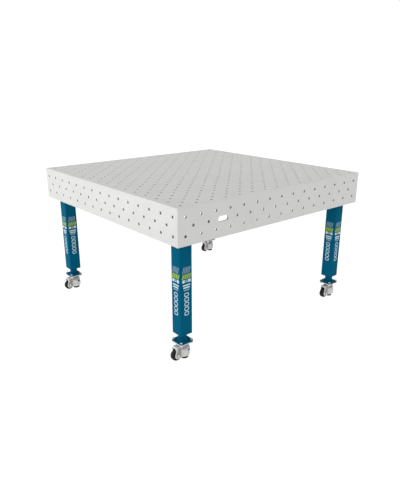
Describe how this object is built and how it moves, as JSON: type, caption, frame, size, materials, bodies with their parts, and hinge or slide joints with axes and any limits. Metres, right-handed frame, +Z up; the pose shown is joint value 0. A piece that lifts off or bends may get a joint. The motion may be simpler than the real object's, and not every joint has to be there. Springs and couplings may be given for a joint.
{
  "type": "welding table",
  "caption": "Perforated steel welding table: flat worktop with a deep drilled skirt, square teal legs and levelling castors that roll, swivel and screw down a foot pad.",
  "frame": {"origin": "on the floor under the middle of the table", "axes": "+X along the 1500 mm sides, +Y along the 1480 mm sides away from the front, +Z up"},
  "size_m": [1.5, 1.48, 0.882],
  "materials": {
    "steel_plate": "ground bare steel plate, satin",
    "teal_paint": "smooth teal powder coat, semi-gloss",
    "zinc": "bright zinc plate",
    "cast_housing": "light grey die-cast aluminium, satin",
    "black_nylon": "black moulded nylon",
    "black_rubber": "black rubber, matt",
    "dark_plastic": "dark moulded plastic"
  },
  "bodies": {
    "root": {"top_plate": "steel_plate", "side_front": "steel_plate", "side_back": "steel_plate", "side_left": "steel_plate", "side_right": "steel_plate", "rib_front": "steel_plate", "rib_back": "steel_plate", "rib_left": "steel_plate", "rib_right": "steel_plate", "leg_mount_front_left": "steel_plate", "leg_flange_front_left": "teal_paint", "leg_tube_front_left": "teal_paint", "leg_base_front_left": "teal_paint", "caster_plate_front_left": "zinc", "caster_race_front_left": "zinc", "leg_mount_front_right": "steel_plate", "leg_flange_front_right": "teal_paint", "leg_tube_front_right": "teal_paint", "leg_base_front_right": "teal_paint", "caster_plate_front_right": "zinc", "caster_race_front_right": "zinc", "leg_mount_back_left": "steel_plate", "leg_flange_back_left": "teal_paint", "leg_tube_back_left": "teal_paint", "leg_base_back_left": "teal_paint", "caster_plate_back_left": "zinc", "caster_race_back_left": "zinc", "leg_mount_back_right": "steel_plate", "leg_flange_back_right": "teal_paint", "leg_tube_back_right": "teal_paint", "leg_base_back_right": "teal_paint", "caster_plate_back_right": "zinc", "caster_race_back_right": "zinc"},
    "swivel_front_left": {"caster_housing_front_left": "cast_housing", "caster_axle_front_left": "zinc"},
    "wheel_front_left": {"caster_wheel_front_left": "black_nylon"},
    "foot_front_left": {"foot_screw_front_left": "zinc", "foot_pad_front_left": "black_rubber"},
    "thumb_front_left": {"thumbwheel_front_left": "dark_plastic"},
    "swivel_front_right": {"caster_housing_front_right": "cast_housing", "caster_axle_front_right": "zinc"},
    "wheel_front_right": {"caster_wheel_front_right": "black_nylon"},
    "foot_front_right": {"foot_screw_front_right": "zinc", "foot_pad_front_right": "black_rubber"},
    "thumb_front_right": {"thumbwheel_front_right": "dark_plastic"},
    "swivel_back_left": {"caster_housing_back_left": "cast_housing", "caster_axle_back_left": "zinc"},
    "wheel_back_left": {"caster_wheel_back_left": "black_nylon"},
    "foot_back_left": {"foot_screw_back_left": "zinc", "foot_pad_back_left": "black_rubber"},
    "thumb_back_left": {"thumbwheel_back_left": "dark_plastic"},
    "swivel_back_right": {"caster_housing_back_right": "cast_housing", "caster_axle_back_right": "zinc"},
    "wheel_back_right": {"caster_wheel_back_right": "black_nylon"},
    "foot_back_right": {"foot_screw_back_right": "zinc", "foot_pad_back_right": "black_rubber"},
    "thumb_back_right": {"thumbwheel_back_right": "dark_plastic"}
  },
  "joints": [
    {"name": "swivel_turn_front_left", "type": "hinge", "parent": "root", "child": "swivel_front_left", "pos_m": [-0.656, -0.646, 0.09], "axis": [0, 0, 1], "continuous": true},
    {"name": "wheel_spin_front_left", "type": "hinge", "parent": "swivel_front_left", "child": "wheel_front_left", "pos_m": [-0.701, -0.646, 0.0325], "axis": [0, 1, 0], "continuous": true},
    {"name": "thumb_turn_front_left", "type": "hinge", "parent": "swivel_front_left", "child": "thumb_front_left", "pos_m": [-0.646, -0.646, 0.0565], "axis": [0, 0, 1], "range_deg": [0, 2160]},
    {"name": "foot_slide_front_left", "type": "slide", "parent": "swivel_front_left", "child": "foot_front_left", "axis": [0, 0, -1], "range_m": [0, 0.012]},
    {"name": "swivel_turn_front_right", "type": "hinge", "parent": "root", "child": "swivel_front_right", "pos_m": [0.656, -0.646, 0.09], "axis": [0, 0, 1], "continuous": true},
    {"name": "wheel_spin_front_right", "type": "hinge", "parent": "swivel_front_right", "child": "wheel_front_right", "pos_m": [0.611, -0.646, 0.0325], "axis": [0, 1, 0], "continuous": true},
    {"name": "thumb_turn_front_right", "type": "hinge", "parent": "swivel_front_right", "child": "thumb_front_right", "pos_m": [0.666, -0.646, 0.0565], "axis": [0, 0, 1], "range_deg": [0, 2160]},
    {"name": "foot_slide_front_right", "type": "slide", "parent": "swivel_front_right", "child": "foot_front_right", "axis": [0, 0, -1], "range_m": [0, 0.012]},
    {"name": "swivel_turn_back_left", "type": "hinge", "parent": "root", "child": "swivel_back_left", "pos_m": [-0.656, 0.646, 0.09], "axis": [0, 0, 1], "continuous": true},
    {"name": "wheel_spin_back_left", "type": "hinge", "parent": "swivel_back_left", "child": "wheel_back_left", "pos_m": [-0.701, 0.646, 0.0325], "axis": [0, 1, 0], "continuous": true},
    {"name": "thumb_turn_back_left", "type": "hinge", "parent": "swivel_back_left", "child": "thumb_back_left", "pos_m": [-0.646, 0.646, 0.0565], "axis": [0, 0, 1], "range_deg": [0, 2160]},
    {"name": "foot_slide_back_left", "type": "slide", "parent": "swivel_back_left", "child": "foot_back_left", "axis": [0, 0, -1], "range_m": [0, 0.012]},
    {"name": "swivel_turn_back_right", "type": "hinge", "parent": "root", "child": "swivel_back_right", "pos_m": [0.656, 0.646, 0.09], "axis": [0, 0, 1], "continuous": true},
    {"name": "wheel_spin_back_right", "type": "hinge", "parent": "swivel_back_right", "child": "wheel_back_right", "pos_m": [0.611, 0.646, 0.0325], "axis": [0, 1, 0], "continuous": true},
    {"name": "thumb_turn_back_right", "type": "hinge", "parent": "swivel_back_right", "child": "thumb_back_right", "pos_m": [0.666, 0.646, 0.0565], "axis": [0, 0, 1], "range_deg": [0, 2160]},
    {"name": "foot_slide_back_right", "type": "slide", "parent": "swivel_back_right", "child": "foot_back_right", "axis": [0, 0, -1], "range_m": [0, 0.012]}
  ],
  "couplings": [
    {"joint": "thumb_turn_front_left", "follows": "foot_slide_front_left", "rad_per_m": 3141.6},
    {"joint": "thumb_turn_front_right", "follows": "foot_slide_front_right", "rad_per_m": 3141.6},
    {"joint": "thumb_turn_back_left", "follows": "foot_slide_back_left", "rad_per_m": 3141.6},
    {"joint": "thumb_turn_back_right", "follows": "foot_slide_back_right", "rad_per_m": 3141.6}
  ]
}
